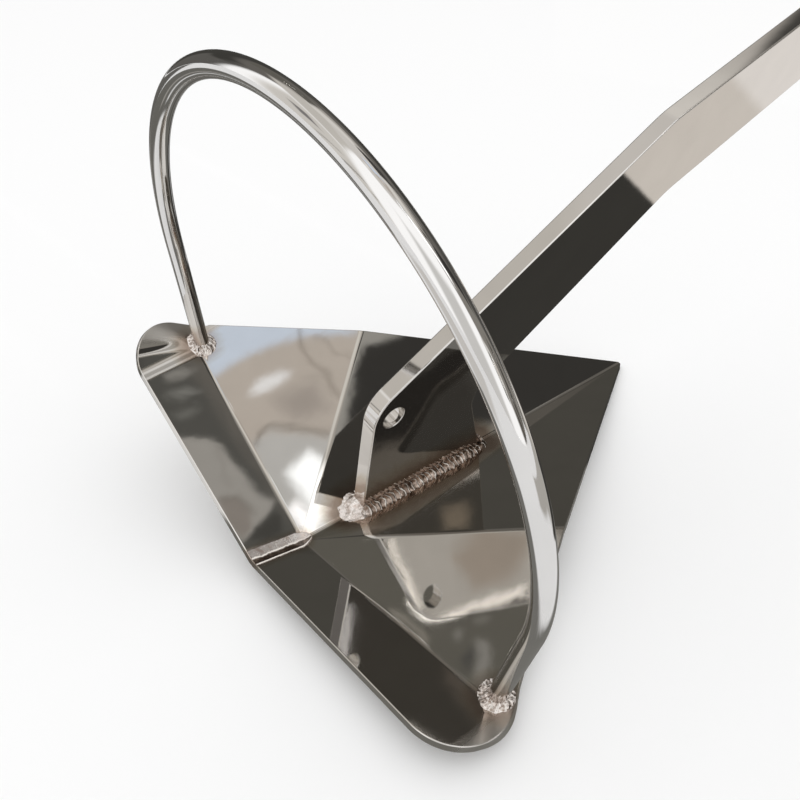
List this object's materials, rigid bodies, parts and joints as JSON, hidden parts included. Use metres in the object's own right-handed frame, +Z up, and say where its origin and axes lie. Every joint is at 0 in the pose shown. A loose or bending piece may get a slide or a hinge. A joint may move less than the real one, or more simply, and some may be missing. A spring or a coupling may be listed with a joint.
{
  "type": "scoop anchor",
  "caption": "Welded stainless scoop anchor: folded concave fluke with a turned-up heel, cranked plate shank with a shackle hole, and a round-bar roll hoop.",
  "frame": {"origin": "middle of the footprint box on the floor, with the anchor lying at rest rolled to starboard on its tip, fold point and starboard hoop leg", "axes": "+X forward from heel to fluke tip and shank end, +Y to port, +Z up from the floor; the anchor's own mid-plane leans about 15 degrees to starboard"},
  "size_m": [0.6899, 0.4068, 0.4181],
  "materials": {
    "polished_plate": "mirror-polished stainless sheet with fine polishing lines and heat tint near the welds",
    "polished_shank": "mirror-polished stainless plate with rounded arrises",
    "polished_bar": "polished stainless round bar",
    "weld_metal": "rippled stainless weld bead with straw and brown heat tint"
  },
  "bodies": {
    "root": {"fluke_plate": "polished_plate", "shank": "polished_shank", "roll_bar": "polished_bar", "shank_weld": "weld_metal", "heel_seam_weld": "weld_metal", "bar_weld_port": "weld_metal", "bar_weld_starboard": "weld_metal"}
  },
  "joints": []
}
